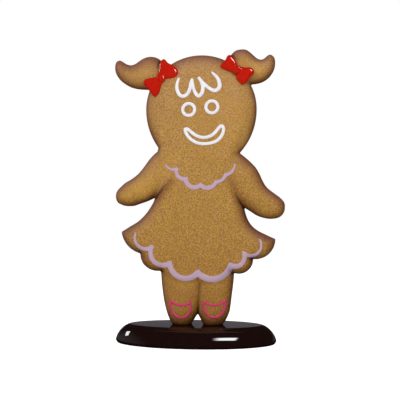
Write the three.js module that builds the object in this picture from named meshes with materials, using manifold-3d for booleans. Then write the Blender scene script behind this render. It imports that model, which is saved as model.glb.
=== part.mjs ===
// A gingerbread girl: a moulded display figure of an iced biscuit, standing on a glossy oval base.
//
// Millimetres, +Z up. The face looks along -Y, +X is on the right of someone who faces the figure,
// and the origin is the middle of the base's flat underside.
//
// The biscuit is puffy dough: each lobe (head, pigtails, dress, arms, legs) has a flat outline in the
// XZ plane and a thickness in Y that rounds off towards that outline. The lobes are joined into one
// solid. Icing lines are piped beads laid on its front skin, and two sugar bows sit where the pigtails
// leave the head.

import * as THREE from "three";
import { LoftGeometry } from "three/addons/geometries/LoftGeometry.js";
import { mergeVertices } from "three/addons/utils/BufferGeometryUtils.js";
import Module from "manifold-3d";

const wasm = await Module();
wasm.setup();

// ---------------------------------------------------------------------------------------------
// Driving dimensions

const GAP = 0.3; // clearance between pieces that touch

const BASE = {
  halfWidth: 251, // at its widest, just above the floor
  halfDepth: 135,
  height: 57,
  lipHeight: 8, // the widest line's height
  lipInset: 5, // how far the underside is drawn in below that line
  shoulder: 46, // width of the rounded shoulder round the flat top
  shoulderPower: 1.6, // 2 is a quarter ellipse, less is a softer slope
};

const BODY_DEPTH = 63; // half the thickness of head and dress

// rim is the width of the rounding along the outline.
const HEAD = { x: 18, z: 725, halfWidth: 172.5, up: 169, down: 188, rim: 62 };

// Each limb is a line of stations: x and z of its middle, half its width, half its thickness.
// cap is the length of the rounded end beyond the last station.
const PIGTAILS = {
  left: {
    cap: 13,
    line: [[-84, 824, 34, 44], [-112, 833, 42, 46], [-139, 840, 50, 47], [-163, 837, 47, 45],
           [-185, 833, 39, 41], [-206, 835, 34, 36], [-222, 843, 27, 31], [-236, 856, 19, 26],
           [-241, 868, 13, 18]],
  },
  right: {
    cap: 10,
    line: [[98, 828, 34, 44], [125, 846, 46, 48], [145, 856, 54, 48], [162, 849, 47, 46],
           [187, 841, 38, 41], [212, 848, 31, 35], [224, 858, 25, 31], [232, 873, 17, 25],
           [234, 883, 12, 18]],
  },
};
const ARMS = {
  left: {
    cap: 37,
    line: [[-40, 565, 62, 58], [-84, 541, 64.5, 58], [-115, 519, 57, 56], [-141, 497, 48.5, 53],
           [-160, 485, 45, 50], [-186, 470, 41.5, 46], [-213, 459, 36.5, 40]],
  },
  right: {
    cap: 41,
    line: [[60, 562, 63, 58], [95, 538, 66, 58], [127.5, 513, 65, 57], [149, 496, 62, 55],
           [176, 462.5, 50.5, 50], [193.5, 448, 46, 47], [214, 432.5, 44, 45], [236, 422.5, 39.5, 41]],
  },
};
const LEGS = {
  left: {
    cap: 28,
    line: [[-37, 300, 70, 56], [-37, 200, 70, 55], [-37.5, 150, 63.5, 52], [-38.5, 112, 54, 50],
           [-40, 90, 46.5, 48], [-42, 75, 38.5, 46]],
  },
  right: {
    cap: 28,
    line: [[57.5, 300, 60.5, 56], [57.5, 200, 60.5, 55], [55, 150, 58, 52], [54.5, 112, 51, 50],
           [53.5, 90, 45.5, 48], [54.5, 75, 38.5, 46]],
  },
};

// The dress with its neck is drawn round its middle: sides of points from inside the head down to
// each tip of the skirt, and a hem of arcs that hang from corner to corner. sag is how far each arc
// bulges below the straight line between its corners.
const DRESS = {
  middle: [8, 345],
  rim: 46,
  leftSide: [[8, 690], [-42, 676], [-82, 650], [-106, 622], [-118, 596], [-120, 540], [-122, 490],
             [-128, 445], [-141, 420], [-157, 398], [-179, 377], [-205, 361], [-232, 344]],
  rightSide: [[248, 323], [232, 330], [213, 338], [194, 347], [177, 360], [165, 376], [156, 398], [150, 430],
              [144, 475], [140, 530], [137, 584], [124, 616], [98, 648], [58, 676], [8, 690]],
  hem: {
    corners: [[-232, 344], [-172, 276], [-102, 224], [10, 188], [114, 221], [179, 261], [248, 323]],
    sags: [13, 22, 24, 28, 23, 21],
  },
};

// Icing. width is the bead's full width at evenly spaced stations, relief its height above the skin.
const HAIR = {
  relief: 4.5,
  curls: [
    {
      points: [[-45, 813], [-48.5, 802], [-50.5, 788], [-47.5, 774], [-40.5, 763], [-32, 759.5],
               [-22, 763], [-14.5, 772], [-9.5, 785], [-7, 799], [-4, 809]],
      width: [7, 9.5, 11, 11.5, 11.5, 11, 11, 11, 11, 11, 10.5],
    },
    {
      points: [[-4, 809], [-1.5, 794.5], [2, 780], [7.5, 767], [15.5, 760], [23.5, 764.5],
               [28.5, 775], [29.5, 787], [26, 800], [21.5, 809], [18, 814]],
      width: [10, 10, 10, 11, 11.5, 12, 12, 12, 11, 10.5, 10.5],
    },
    {
      points: [[18, 814], [25, 805], [35, 795], [46, 785], [56.5, 778.5], [66.5, 776], [76, 780.5],
               [80.5, 790.5], [78.5, 804.5], [72, 816.5], [64.5, 824.5], [58.5, 830]],
      width: [10.5, 10, 10, 11, 11.5, 12, 12.5, 13, 11.5, 10, 8.5, 7],
    },
  ],
};
const EYES = { relief: 4.5, radius: 18.3, width: 10, left: [-14, 719], right: [57, 726] };
const MOUTH = {
  relief: 4.5,
  width: 10.4,
  points: [[-21, 660.5], [-9.5, 653.5], [2, 644], [15.5, 637], [32, 633.5], [48.5, 636.5],
           [62.5, 644.5], [73.5, 656.5], [82, 666.5], [88, 668], [92, 662.5], [91.5, 650],
           [84.5, 635.5], [71.5, 623], [54, 616.5], [35, 614.5], [15.5, 616.5], [-0.5, 623.5],
           [-14.5, 635.5], [-23, 649], [-24.5, 658.5]],
};
// Scalloped icing lines, given as the hem is.
const COLLAR = {
  relief: 3,
  corners: [[-85, 551], [-51, 538], [-23, 508], [22, 489], [69, 498], [98, 520], [125, 552]],
  sags: [7, 12, 16, 13, 6.5, 9],
  width: [5.5, 8, 11.5, 12, 14, 14, 14, 14.5, 12, 10.5, 11, 9, 5.5],
};
const HEM_TRIM = {
  relief: 3,
  corners: [[-178, 340], [-128, 299], [-72, 250], [14, 222], [114, 245], [153, 284], [201, 323]],
  sags: [24, 28, 31, 30.5, 19.5, 28],
  width: [6, 10, 13.5, 13.5, 16, 17.5, 19.5, 20.5, 18.5, 15, 13, 10, 5.5],
};
// Slippers, by marks round the toe from one corner of the opening to the other.
const SHOES = {
  relief: 4,
  width: 7.4,
  dip: 11.5, // how far the line over the instep hangs below the corners
  left: [[-70.5, 134.5], [-72, 117], [-67.5, 101], [-56, 88], [-40.5, 82.5], [-25, 87],
         [-14.5, 99], [-10, 117], [-11.5, 130.5]],
  right: [[32, 132], [31, 118], [36.5, 101], [48.5, 89], [64, 85], [79, 90], [89.5, 103],
          [93.5, 119], [94, 135.5]],
};

// Sugar bows: a knot, and two loops, each drawn from the knot round its far corners and back. The
// knot's halfWidth lies along the bow, which is turned by so many degrees from the level.
const BOW = { middle: -57, halfDepth: 12, rim: 10, knotProud: 4 };
const BOWS = {
  left: {
    knot: { x: -100, z: 817, halfWidth: 12, halfHeight: 16, turn: 41 },
    loops: [
      [[-91, 815], [-67, 814], [-50, 821], [-46, 835], [-58, 852], [-78, 863], [-91, 875], [-103, 865],
       [-105, 845], [-107, 828]],
      [[-108, 820], [-131, 818], [-151, 812], [-156, 802], [-140, 783], [-127, 766], [-117, 759],
       [-105, 771], [-98, 795], [-94, 808]],
    ],
  },
  right: {
    knot: { x: 134, z: 838, halfWidth: 12, halfHeight: 14.5, turn: -36 },
    loops: [
      [[134, 853], [129.5, 866], [122, 877], [111, 884], [103, 880], [97, 868], [86, 858], [82, 850],
       [89, 842], [104, 836], [124, 831]],
      [[136, 829], [134, 814], [142, 800], [151, 794], [160, 799], [175, 817], [186, 831], [178, 843],
       [157, 846], [140, 847]],
    ],
  },
};

// How finely each form is divided.
const DETAIL = {
  baseSides: 42,
  shoulderRings: 6,
  headSides: 34,
  limbSides: 12,
  capRings: 4,
  sidePoints: 14,
  hemPoints: 6,
  curlPoints: 12,
  eyePoints: 15,
  mouthPoints: 25,
  collarPoints: 5,
  trimPoints: 6,
  instepPoints: 5,
  toePoints: 11,
  loopPoints: 18,
  knotPoints: 10,
};

// ---------------------------------------------------------------------------------------------
// Solids from geometries

// A closed geometry as a manifold-3d solid: shared vertices merged, collapsed triangles dropped.
function solidFrom(geometry) {
  const bare = new THREE.BufferGeometry();
  bare.setAttribute("position", geometry.getAttribute("position"));
  bare.setIndex(geometry.getIndex());
  const merged = mergeVertices(bare, 1e-3);
  const corners = merged.index.array;
  const triVerts = [];
  for (let i = 0; i < corners.length; i += 3) {
    const [a, b, c] = corners.subarray(i, i + 3);
    if (a !== b && b !== c && c !== a) triVerts.push(a, b, c);
  }
  return new wasm.Manifold(
    new wasm.Mesh({
      numProp: 3,
      vertProperties: merged.getAttribute("position").array,
      triVerts: new Uint32Array(triVerts),
    }),
  );
}

function geometryFrom(solid) {
  const { vertProperties, triVerts } = solid.getMesh();
  const geometry = new THREE.BufferGeometry();
  geometry.setAttribute("position", new THREE.BufferAttribute(vertProperties, 3));
  geometry.setIndex(new THREE.BufferAttribute(triVerts, 1));
  geometry.computeVertexNormals();
  return geometry;
}

const join = (solids) => solids.reduce((whole, piece) => whole.add(piece));

const meshOf = (name, solid, material) => {
  const mesh = new THREE.Mesh(geometryFrom(solid), material);
  mesh.name = name;
  return mesh;
};

// ---------------------------------------------------------------------------------------------
// Outlines in the XZ plane, as lists of Vector2 (x, z)

const flat = ([x, z]) => new THREE.Vector2(x, z);

// A smooth line through the points, in so many even steps.
const spline = (points, steps, closed = false) =>
  new THREE.CatmullRomCurve3(points.map(([x, z]) => new THREE.Vector3(x, 0, z)), closed)
    .getSpacedPoints(steps)
    .map((p) => new THREE.Vector2(p.x, p.z));
const closedSpline = (points, steps) => spline(points, steps, true).slice(0, -1);

function ellipse([x, z], halfWidth, halfHeight, steps, turn = 0) {
  return Array.from({ length: steps }, (_, i) => {
    const angle = (2 * Math.PI * i) / steps;
    return new THREE.Vector2(halfWidth * Math.cos(angle), halfHeight * Math.sin(angle))
      .rotateAround(new THREE.Vector2(), THREE.MathUtils.degToRad(turn))
      .add(flat([x, z]));
  });
}

// The circular arc from one corner to the next that bulges by sag to the right of the way it runs.
function arc(from, to, sag, steps) {
  const start = flat(from);
  const chord = flat(to).sub(start);
  const half = chord.length() / 2;
  const radius = (half * half + sag * sag) / (2 * sag);
  const spread = Math.asin(Math.min(1, half / radius));
  const reach = sag > half ? Math.PI - spread : spread;
  const along = chord.normalize();
  const out = new THREE.Vector2(along.y, -along.x);
  const centre = start.clone().addScaledVector(along, half).addScaledVector(out, sag - radius);
  return Array.from({ length: steps + 1 }, (_, i) => {
    const angle = reach * ((2 * i) / steps - 1);
    return centre
      .clone()
      .addScaledVector(along, radius * Math.sin(angle))
      .addScaledVector(out, radius * Math.cos(angle));
  });
}

// Arcs from corner to corner in one line, without its last point.
const scallops = ({ corners, sags }, steps) =>
  sags.flatMap((sag, i) => arc(corners[i], corners[i + 1], sag, steps).slice(0, -1));

// How far a point lies from the nearest edge of a closed outline.
function distanceTo(outline, point) {
  const edge = new THREE.Vector2();
  const offset = new THREE.Vector2();
  return outline.reduce((least, from, i) => {
    edge.subVectors(outline[(i + 1) % outline.length], from);
    offset.subVectors(point, from);
    const share = THREE.MathUtils.clamp(offset.dot(edge) / edge.lengthSq(), 0, 1);
    return Math.min(least, offset.addScaledVector(edge, -share).length());
  }, Infinity);
}

// ---------------------------------------------------------------------------------------------
// Puffy shapes

const PUFF = 2.2; // power of the superellipse that rounds the dough: 2 is a circle, more is squarer
const PAST_RIM = 1.25; // how far in the rings go, over the rim's width, where an outline runs aslant
const LEAST_MIDDLE = 0.2; // the innermost ring is at least this share of the outline
const puff = (share) => (1 - share ** PUFF) ** (1 / PUFF);

// A pillow on a closed outline that runs counterclockwise in X, Z and can be seen whole from its
// centre. Its thickness is zero at the outline, rounds up over the rim's width, and is level further
// in. Rings of the outline, shrunk towards the centre, are lofted from the middle of the back face
// to the middle of the front one.
function pillow({ outline, centre, depth, rim, middle = 0, rings = 4 }) {
  const reach = Math.min(...outline.map((p) => p.distanceTo(centre)));
  const rounding = Math.min(PAST_RIM * (rim / reach), 1 - LEAST_MIDDLE);
  const shares = Array.from({ length: rings }, (_, i) => {
    const angle = (Math.PI / 2) * ((i + 1) / rings);
    return 1 - rounding * (1 - Math.cos(angle));
  });
  const ring = (share, side) =>
    outline.map((p) => {
      const spot = p.clone().lerp(centre, 1 - share);
      const inside = Math.min(distanceTo(outline, spot) / rim, 1);
      return new THREE.Vector3(spot.x, middle + side * depth * puff(1 - inside), spot.y);
    });
  const face = (side) => [...shares, 0].map((share) => ring(share, side));
  return solidFrom(new LoftGeometry([...face(1).reverse(), ring(1, 0), ...face(-1)]));
}

// A limb: rounded sections along a curved middle line, closed by a rounded end.
function limb({ line, cap }) {
  const middle = new THREE.CatmullRomCurve3(line.map(([x, z]) => new THREE.Vector3(x, 0, z)));
  const squared = (v) => Math.sign(v) * Math.abs(v) ** (2 / PUFF);
  const section = (centre, heading, width, depth) =>
    Array.from({ length: DETAIL.limbSides }, (_, i) => {
      const angle = (2 * Math.PI * i) / DETAIL.limbSides;
      const across = width * squared(Math.cos(angle));
      const out = depth * squared(Math.sin(angle));
      return new THREE.Vector3(heading.z * across, out, -heading.x * across).add(centre);
    });
  const sections = line.map(([x, z, width, depth], i) =>
    section(new THREE.Vector3(x, 0, z), middle.getTangent(i / (line.length - 1)), width, depth),
  );
  const end = middle.getPoint(1);
  const heading = middle.getTangent(1);
  const [, , endWidth, endDepth] = line.at(-1);
  for (let i = 1; i <= DETAIL.capRings; i++) {
    const out = i < DETAIL.capRings ? Math.sin((Math.PI / 2) * (i / DETAIL.capRings)) : 1;
    const centre = end.clone().addScaledVector(heading, cap * out);
    sections.push(section(centre, heading, endWidth * puff(out), endDepth * puff(out)));
  }
  return solidFrom(new LoftGeometry(sections, { capStart: true }));
}

// ---------------------------------------------------------------------------------------------
// The base

function makeBase() {
  const ring = (z, inset) =>
    ellipse([0, 0], BASE.halfWidth - inset, BASE.halfDepth - inset, DETAIL.baseSides).map(
      (p) => new THREE.Vector3(p.x, p.y, z),
    );
  const sections = [ring(0, BASE.lipInset), ring(BASE.lipHeight / 2, BASE.lipInset / 4)];
  for (let i = 0; i <= DETAIL.shoulderRings; i++) {
    const angle = (Math.PI / 2) * (i / DETAIL.shoulderRings);
    const rise = Math.sin(angle) ** (2 / BASE.shoulderPower);
    const inset = 1 - Math.cos(angle) ** (2 / BASE.shoulderPower);
    sections.push(ring(BASE.lipHeight + (BASE.height - BASE.lipHeight) * rise, BASE.shoulder * inset));
  }
  return solidFrom(new LoftGeometry(sections, { capStart: true, capEnd: true }));
}

// ---------------------------------------------------------------------------------------------
// The biscuit

function makeHead() {
  const outline = ellipse([0, 0], HEAD.halfWidth, 1, DETAIL.headSides).map(
    (p) => new THREE.Vector2(HEAD.x + p.x, HEAD.z + p.y * (p.y > 0 ? HEAD.up : HEAD.down)),
  );
  return pillow({ outline, centre: flat([HEAD.x, HEAD.z]), depth: BODY_DEPTH, rim: HEAD.rim });
}

function makeDress() {
  const outline = [
    ...spline(DRESS.leftSide, DETAIL.sidePoints).slice(0, -1),
    ...scallops(DRESS.hem, DETAIL.hemPoints),
    ...spline(DRESS.rightSide, DETAIL.sidePoints).slice(0, -1),
  ];
  return pillow({ outline, centre: flat(DRESS.middle), depth: BODY_DEPTH, rim: DRESS.rim, rings: 5 });
}

function makeBiscuit() {
  const limbs = [PIGTAILS, ARMS, LEGS].flatMap((pair) => [limb(pair.left), limb(pair.right)]);
  const whole = join([makeHead(), makeDress(), ...limbs]);
  // The feet are cut level where they stand on the base.
  const below = new THREE.BoxGeometry(2 * BASE.halfWidth, 2 * BASE.halfDepth, BASE.height);
  below.translate(0, 0, BASE.height / 2 + GAP);
  return whole.subtract(solidFrom(below));
}

const biscuit = makeBiscuit();
// What lies on the biscuit is cut by a copy of it that stands a little proud.
const proudBiscuit = biscuit.translate([0, -GAP, 0]);
const lay = (solid) => solid.subtract(proudBiscuit);

const skin = new THREE.Mesh(geometryFrom(biscuit));
const ray = new THREE.Raycaster();

// The Y of the biscuit's front skin at a spot in the XZ plane.
function skinAt({ x, y: z }) {
  ray.set(new THREE.Vector3(x, -4 * BODY_DEPTH, z), new THREE.Vector3(0, 1, 0));
  const [hit] = ray.intersectObject(skin);
  return hit.point.y;
}

// ---------------------------------------------------------------------------------------------
// Icing

function widthAt(widths, share) {
  const place = share * (widths.length - 1);
  const from = Math.min(Math.floor(place), widths.length - 2);
  return THREE.MathUtils.lerp(widths[from], widths[from + 1], place - from);
}

const CROWN = [-1, -0.6, 0, 0.6, 1]; // where a bead's crown has its ridges, from one edge to the other
const SUNK = 8; // how far a bead's back lies under the skin before the biscuit cuts it away
const SHARPEST = 0.88; // least cosine of half the turn at a mitre, so that a sharp corner grows no spike

// A bead of icing along a line on the front skin. Its crown is half an ellipse, and its corners are
// mitred.
function bead(line, widths, relief, closed = false) {
  const last = line.length - 1;
  const sections = line.map((spot, i) => {
    const before = line[i > 0 ? i - 1 : closed ? last : 0];
    const after = line[i < last ? i + 1 : closed ? 0 : last];
    const arriving = spot.clone().sub(before).normalize();
    const leaving = after.clone().sub(spot).normalize();
    const heading = arriving.clone().add(leaving).normalize();
    const mitre = Math.max(heading.dot(i > 0 || closed ? arriving : leaving), SHARPEST);
    const half = widthAt(widths, i / last) / 2 / mitre;
    const side = new THREE.Vector2(heading.y, -heading.x).multiplyScalar(half);
    const crown = CROWN.map((share) => {
      const at = spot.clone().addScaledVector(side, share);
      const height = relief * Math.sqrt(1 - share * share) + 2 * GAP;
      return new THREE.Vector3(at.x, skinAt(at) - height, at.y);
    });
    const back = [crown.at(-1), crown[0]].map((p) => p.clone().setY(p.y + SUNK));
    return [...back, ...crown];
  });
  if (closed) sections.push(sections[0].map((p) => p.clone()));
  return solidFrom(new LoftGeometry(sections, { capStart: !closed, capEnd: !closed }));
}

function makeHair() {
  const curl = ({ points, width }) => bead(spline(points, DETAIL.curlPoints), width, HAIR.relief);
  return lay(join(HAIR.curls.map(curl)));
}

function makeEye(middle) {
  const circle = ellipse(middle, EYES.radius, EYES.radius, DETAIL.eyePoints);
  return lay(bead(circle, [EYES.width, EYES.width], EYES.relief, true));
}

function makeMouth() {
  const line = closedSpline(MOUTH.points, DETAIL.mouthPoints);
  return lay(bead(line, [MOUTH.width, MOUTH.width], MOUTH.relief, true));
}

function makeScallopedLine(shape, steps) {
  const line = [...scallops(shape, steps), flat(shape.corners.at(-1))];
  return lay(bead(line, shape.width, shape.relief));
}

// A slipper's outline: a hanging line over the instep and a curve round the toe.
function makeShoe(marks) {
  const instep = arc(marks[0], marks.at(-1), SHOES.dip, DETAIL.instepPoints);
  const toe = spline(marks, DETAIL.toePoints).reverse().slice(1, -1);
  return lay(bead([...instep, ...toe], [SHOES.width, SHOES.width], SHOES.relief, true));
}

// ---------------------------------------------------------------------------------------------
// Sugar bows

function makeBow({ knot, loops }) {
  const puffed = (outline, depth) => {
    if (THREE.ShapeUtils.isClockWise(outline)) outline.reverse();
    const centre = outline.reduce((sum, p) => sum.add(p), new THREE.Vector2()).divideScalar(outline.length);
    return pillow({ outline, centre, depth, rim: BOW.rim, middle: BOW.middle, rings: 3 });
  };
  const pieces = loops.map((points) => puffed(closedSpline(points, DETAIL.loopPoints), BOW.halfDepth));
  const band = ellipse([knot.x, knot.z], knot.halfWidth, knot.halfHeight, DETAIL.knotPoints, knot.turn);
  return lay(join([...pieces, puffed(band, BOW.halfDepth + BOW.knotProud)]));
}

// ---------------------------------------------------------------------------------------------
// The figure

const paint = (name, color, roughness) =>
  new THREE.MeshStandardMaterial({ name, color, roughness, metalness: 0 });
const GINGERBREAD = paint("gingerbread paint", 0xb0823c, 0.75);
const WHITE_ICING = paint("white icing", 0xeceaf0, 0.4);
const LILAC_ICING = paint("lilac icing", 0xbfa0ae, 0.5);
const PINK_ICING = paint("pink icing", 0xd03a66, 0.4);
const RED_SUGAR = paint("red sugar", 0xc41a10, 0.15);
const CHOCOLATE = paint("chocolate gloss", 0x1e0f0d, 0.1);

const figure = new THREE.Group();
figure.add(
  meshOf("base", makeBase(), CHOCOLATE),
  meshOf("biscuit", biscuit, GINGERBREAD),
  meshOf("hair", makeHair(), WHITE_ICING),
  meshOf("eye_left", makeEye(EYES.left), WHITE_ICING),
  meshOf("eye_right", makeEye(EYES.right), WHITE_ICING),
  meshOf("mouth", makeMouth(), WHITE_ICING),
  meshOf("collar", makeScallopedLine(COLLAR, DETAIL.collarPoints), LILAC_ICING),
  meshOf("hem_trim", makeScallopedLine(HEM_TRIM, DETAIL.trimPoints), LILAC_ICING),
  meshOf("shoe_left", makeShoe(SHOES.left), PINK_ICING),
  meshOf("shoe_right", makeShoe(SHOES.right), PINK_ICING),
  meshOf("bow_left", makeBow(BOWS.left), RED_SUGAR),
  meshOf("bow_right", makeBow(BOWS.right), RED_SUGAR),
);

export default figure;
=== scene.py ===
# %% [markdown]
# # A gingerbread girl display figure
#
# The real thing is a shop or party decoration: a figure 0.9 m tall, moulded in resin and sprayed
# to look like an iced biscuit, on a glossy chocolate-coloured plinth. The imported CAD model
# gives every piece its place and size. These cells keep its frame and give it the smooth dough,
# piped icing, sugar bows and paint that the eye expects.
#
# Shapes are worked out in millimetres, because the figure's own dimensions are round numbers
# there, and turned to metres when a mesh is made. +Z is up, the face looks along -Y, and left and
# right are as seen by someone who faces the figure.

import math
from itertools import product

import bpy
import numpy as np
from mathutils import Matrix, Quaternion, Vector


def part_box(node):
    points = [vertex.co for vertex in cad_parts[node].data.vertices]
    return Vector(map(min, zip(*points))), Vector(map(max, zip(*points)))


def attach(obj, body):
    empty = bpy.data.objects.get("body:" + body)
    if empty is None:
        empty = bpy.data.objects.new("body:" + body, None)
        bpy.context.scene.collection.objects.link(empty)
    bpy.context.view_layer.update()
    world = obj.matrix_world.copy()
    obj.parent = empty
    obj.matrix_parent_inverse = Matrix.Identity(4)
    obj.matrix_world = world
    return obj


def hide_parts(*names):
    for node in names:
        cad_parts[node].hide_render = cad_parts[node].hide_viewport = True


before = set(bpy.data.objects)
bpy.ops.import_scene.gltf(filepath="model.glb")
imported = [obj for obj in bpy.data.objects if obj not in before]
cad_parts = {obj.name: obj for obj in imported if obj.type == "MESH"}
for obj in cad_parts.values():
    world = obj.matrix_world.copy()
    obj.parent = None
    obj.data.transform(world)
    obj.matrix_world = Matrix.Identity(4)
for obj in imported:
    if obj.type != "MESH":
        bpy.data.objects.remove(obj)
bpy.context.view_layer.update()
MM = 0.001


def box_mm(node):
    """Lowest and highest corner of a CAD node, in millimetres."""
    return [np.array(corner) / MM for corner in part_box(node)]


# %% [markdown]
# ## Camera
#
# A long lens from 2.6 m keeps the figure's proportions, as a product shot does. The camera stands a
# few degrees round to the right and half way up, and looks level.

# %% Camera
CAMERA_TURN = math.radians(6)
CAMERA_DISTANCE = 2.6
AIM = (0.014, 0.0, 0.4435)
LENS = 75.06

camera_data = bpy.data.cameras.new("camera")
camera_data.lens = LENS
camera = bpy.data.objects.new("camera", camera_data)
camera.location = (
    AIM[0] + CAMERA_DISTANCE * math.sin(CAMERA_TURN),
    AIM[1] - CAMERA_DISTANCE * math.cos(CAMERA_TURN),
    AIM[2],
)
camera.rotation_euler = (math.pi / 2, 0, CAMERA_TURN)
bpy.context.scene.collection.objects.link(camera)
bpy.context.scene.camera = camera
print("camera at", tuple(round(c, 3) for c in camera.location))

# %% [markdown]
# ## Outlines
#
# A biscuit starts as a flat outline. Each one is a list of points in the XZ plane: smooth curves
# through a few marks, ellipses, and the circular arcs of a scalloped edge.

# %% Curves in the XZ plane


def spline(points, steps, closed=False):
    """A centripetal Catmull-Rom curve: cubic stretches from point to point whose slopes come from
    the neighbours, each weighted by the square root of its distance. Extra columns ride along."""
    p = np.asarray(points, float)
    if closed:
        before, start, end, after = (np.roll(p, shift, axis=0) for shift in (1, 0, -1, -2))
    else:
        p = np.vstack([2 * p[0] - p[1], p, 2 * p[-1] - p[-2]])
        before, start, end, after = p[:-3], p[1:-2], p[2:-1], p[3:]
    first, second, third = (
        np.linalg.norm((b - a)[:, :2], axis=1, keepdims=True) ** 0.5
        for a, b in ((before, start), (start, end), (end, after))
    )
    leave = (start - before) / first - (end - before) / (first + second) + (end - start) / second
    arrive = (end - start) / second - (after - start) / (second + third) + (after - end) / third
    t = (np.arange(steps) / steps)[None, :, None]
    curve = (
        (2 * t**3 - 3 * t**2 + 1) * start[:, None]
        + (t**3 - 2 * t**2 + t) * (leave * second)[:, None]
        + (3 * t**2 - 2 * t**3) * end[:, None]
        + (t**3 - t**2) * (arrive * second)[:, None]
    ).reshape(-1, p.shape[1])
    return curve if closed else np.vstack([curve, end[-1]])


def ellipse(middle, half_width, half_height, turn=0.0, steps=180):
    """Points at even angles round an ellipse, turned by so many degrees."""
    angle = np.linspace(0, 2 * np.pi, steps, endpoint=False)
    across, up = half_width * np.cos(angle), half_height * np.sin(angle)
    c, s = math.cos(math.radians(turn)), math.sin(math.radians(turn))
    return np.column_stack([middle[0] + c * across - s * up, middle[1] + s * across + c * up])


def arc(start, end, sag, steps):
    """The circular arc from start to end that bulges by sag to the right of the way it runs."""
    start, end = np.asarray(start, float), np.asarray(end, float)
    half = np.linalg.norm(end - start) / 2
    along = (end - start) / (2 * half)
    out = np.array([along[1], -along[0]])
    radius = (half**2 + sag**2) / (2 * sag)
    spread = math.asin(min(1.0, half / radius))
    reach = math.pi - spread if sag > half else spread
    angle = np.linspace(-reach, reach, steps + 1)[:, None]
    centre = start + along * half + out * (sag - radius)
    return centre + along * radius * np.sin(angle) + out * radius * np.cos(angle)


def scallops(corners, sags, steps):
    """Arcs from corner to corner in one line."""
    arcs = [arc(a, b, sag, steps)[:-1] for a, b, sag in zip(corners, corners[1:], sags)]
    return np.vstack([*arcs, [corners[-1]]])


def evenly(line, spacing, closed=False):
    """The line again, with points at even distances of about the spacing."""
    if closed:
        line = np.vstack([line, line[:1]])
    length = np.insert(np.cumsum(np.linalg.norm(np.diff(line[:, :2], axis=0), axis=1)), 0, 0)
    stations = np.linspace(0, length[-1], max(4, round(length[-1] / spacing)) + 1)
    spread = np.column_stack([np.interp(stations, length, column) for column in line.T])
    return spread[:-1] if closed else spread


# %% [markdown]
# ## The dough
#
# Baked dough is a flat slab that rounds off towards its outline. So one number says almost
# everything about a spot of the XZ plane: how far it lies inside the outline. Sculpting could make
# such a body, and so could a heap of subdivided lobes, but a field is easier to steer: it is
# worked out for each lobe on its own, and the lobes are then run into each other. Where two lobes
# meet at the outline the join stays a sharp notch, and it fades further in, as dough does.

# %% Lobes of the dough, in mm
BODY_DEPTH = 63  # half the thickness of head and dress
PUFF = 2.2  # power of the superellipse that rounds the dough: 2 is a circle, more is squarer
GRID = 3.0  # spacing of the grid that the dough's fields are worked out on
TINY = 1e-6  # keeps a division from zero

HEAD = dict(middle=(18, 725), half_width=172.5, up=168, down=188, rim=62)

DRESS_RIM, HEM_RIM = 46, 30
HEM_FROM, HEM_TO = 230, 350  # heights over which the rim goes from the hem's to the dress's
DRESS_LEFT = [
    (8, 690), (-42, 676), (-82, 650), (-106, 622), (-118, 596), (-120, 540), (-122, 490),
    (-128, 445), (-141, 420), (-157, 398), (-179, 377), (-205, 361), (-232, 344),
]
DRESS_RIGHT = [
    (248, 323), (232, 330), (214, 338.5), (196, 347.5), (179, 360), (166.5, 376), (157, 398),
    (150, 430), (144, 475), (140, 530), (137, 584), (124, 616), (98, 648), (58, 676), (8, 690),
]
HEM_CORNERS = [
    (-232, 344), (-172, 276), (-102, 224), (10, 188), (114, 221), (179, 261), (248, 323),
]
HEM_SAGS = [13.8, 22, 24, 28, 23, 21]

# A limb has the marks of its outline, which is a smooth curve through them, and the line of its
# middle: a row of stations with x and z, half the width and half the thickness there.
PIGTAIL_LEFT = dict(
    outline=[
        (-90, 858), (-110, 881), (-121, 888), (-135, 891.5), (-149, 891), (-163, 886.5),
        (-177, 878), (-190, 869.5), (-203, 866.5), (-217, 870), (-229, 877.5), (-238, 882),
        (-246.5, 880), (-252.5, 872), (-254, 859.5), (-252, 844.5), (-245.5, 831), (-235, 818),
        (-220, 806.5), (-202, 797), (-180, 791.5), (-155, 789.5), (-120, 788), (-90, 800),
    ],
    line=[
        (-84, 824, 34, 44), (-112, 833, 42, 46), (-139, 840, 50, 47), (-163, 837, 47, 45),
        (-185, 833, 39, 41), (-206, 835, 34, 36), (-222, 843, 27, 31), (-236, 856, 19, 26),
        (-241, 868, 13, 18),
    ],
)
PIGTAIL_RIGHT = dict(
    outline=[
        (100, 850), (104, 878), (114, 896), (126, 906), (142, 909.5), (157, 908.5), (170, 900.5),
        (182, 889.5), (193, 880.5), (203, 877), (213, 880), (223, 888.5), (231, 892.5),
        (239, 889.5), (245.5, 881), (247.5, 869), (246, 853), (240.5, 838.5), (230, 823.5),
        (214, 811), (197, 804.5), (180, 802), (150, 802), (115, 820),
    ],
    line=[
        (98, 828, 34, 44), (125, 846, 46, 48), (145, 856, 54, 48), (162, 849, 47, 46),
        (187, 841, 38, 41), (212, 848, 31, 35), (224, 858, 25, 31), (232, 873, 17, 25),
        (234, 883, 12, 18),
    ],
)
ARM_LEFT = dict(
    outline=[
        (-70, 619), (-116, 597), (-142, 573), (-154, 557), (-165.5, 541.5), (-177, 528),
        (-191, 516), (-206, 506), (-221, 497.5), (-234, 486), (-243, 477), (-249, 468),
        (-251, 457), (-250, 446), (-244.5, 435), (-234, 429), (-222.5, 425), (-209, 424),
        (-193, 425), (-176, 431), (-159, 436.5), (-143, 443), (-113, 458), (-80, 474), (-52, 485),
        (-10, 511),
    ],
    line=[
        (-40, 565, 62, 58), (-84, 541, 64.5, 58), (-115, 519, 57, 56), (-141, 497, 48.5, 53),
        (-160, 485, 45, 50), (-186, 470, 41.5, 46), (-213, 459, 36, 40),
    ],
)
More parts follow.
